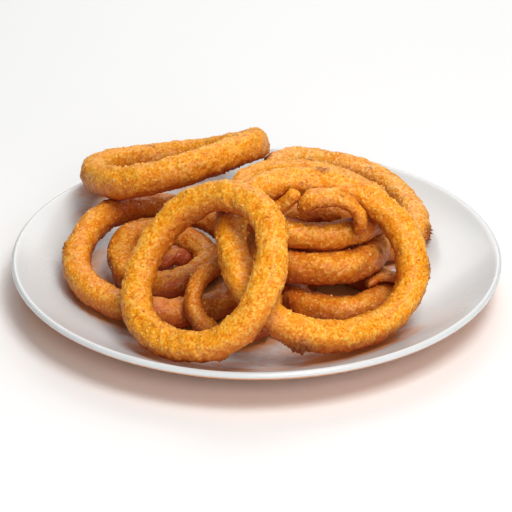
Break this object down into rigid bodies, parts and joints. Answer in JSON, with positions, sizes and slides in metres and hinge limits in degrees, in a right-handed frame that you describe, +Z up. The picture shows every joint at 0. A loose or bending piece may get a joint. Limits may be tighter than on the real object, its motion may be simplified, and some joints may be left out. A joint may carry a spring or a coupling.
{
  "type": "plated onion rings",
  "caption": "Battered, deep-fried onion rings heaped on a round white coupe plate, with a few broken bits of batter between them; a side dish as served.",
  "frame": {"origin": "middle of the plate's flat base, on the table", "axes": "+Z up, +X to the right of the person served, -Y towards them"},
  "size_m": [0.2574, 0.2574, 0.0911],
  "materials": {
    "batter": "crisp golden fried batter, bumpy and slightly oily",
    "porcelain": "glossy white glaze"
  },
  "bodies": {
    "root": {"plate": "porcelain", "ring_front_leaning": "batter", "ring_top_left": "batter", "ring_left": "batter", "ring_right_large": "batter", "ring_back_outer": "batter", "ring_back_inner": "batter", "ring_middle": "batter", "ring_low_right": "batter", "ring_inner_left": "batter", "ring_small_inner": "batter", "bit_curl": "batter", "bit_knob": "batter", "bit_flake": "batter", "bit_stub": "batter"}
  },
  "joints": []
}
